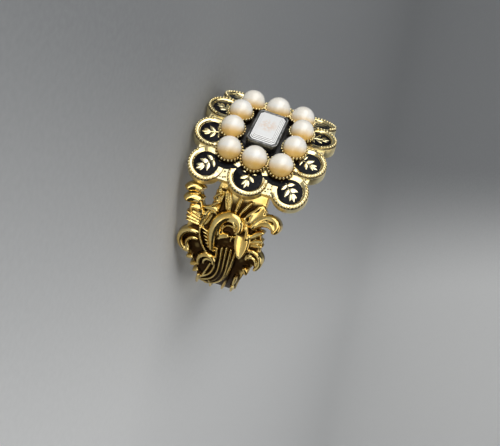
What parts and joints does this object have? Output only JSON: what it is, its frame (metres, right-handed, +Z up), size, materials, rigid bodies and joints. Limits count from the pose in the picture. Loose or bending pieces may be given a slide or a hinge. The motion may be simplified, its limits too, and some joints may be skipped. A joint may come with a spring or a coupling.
{
  "type": "mourning ring",
  "caption": "Gold mourning ring with a scalloped bent head, enamel discs, half pearls round a table-cut stone, and pierced scroll shoulders.",
  "frame": {"origin": "centre of the bounding box on the surface that the ring lies on", "axes": "+Z up from that surface; -Y the way the head faces, so +Y is along the ring from head to back, its longest side; +X towards one shoulder"},
  "size_m": [0.0206, 0.0226, 0.0144],
  "materials": {
    "gold": "cast and polished yellow gold, dark in the recesses",
    "silver": "dark, tarnished silver",
    "stone": "polished step-cut colourless stone",
    "pearl": "cream lustre",
    "enamel": "glossy black enamel"
  },
  "bodies": {
    "root": {"gold_ring": "gold", "centre_collet": "silver", "centre_stone": "stone", "pearl_01": "pearl", "pearl_02": "pearl", "pearl_03": "pearl", "pearl_04": "pearl", "pearl_05": "pearl", "pearl_06": "pearl", "pearl_07": "pearl", "pearl_08": "pearl", "pearl_09": "pearl", "pearl_10": "pearl", "enamel_01": "enamel", "enamel_02": "enamel", "enamel_03": "enamel", "enamel_04": "enamel", "enamel_05": "enamel", "enamel_06": "enamel", "enamel_07": "enamel", "enamel_08": "enamel", "enamel_09": "enamel", "enamel_10": "enamel"}
  },
  "joints": []
}
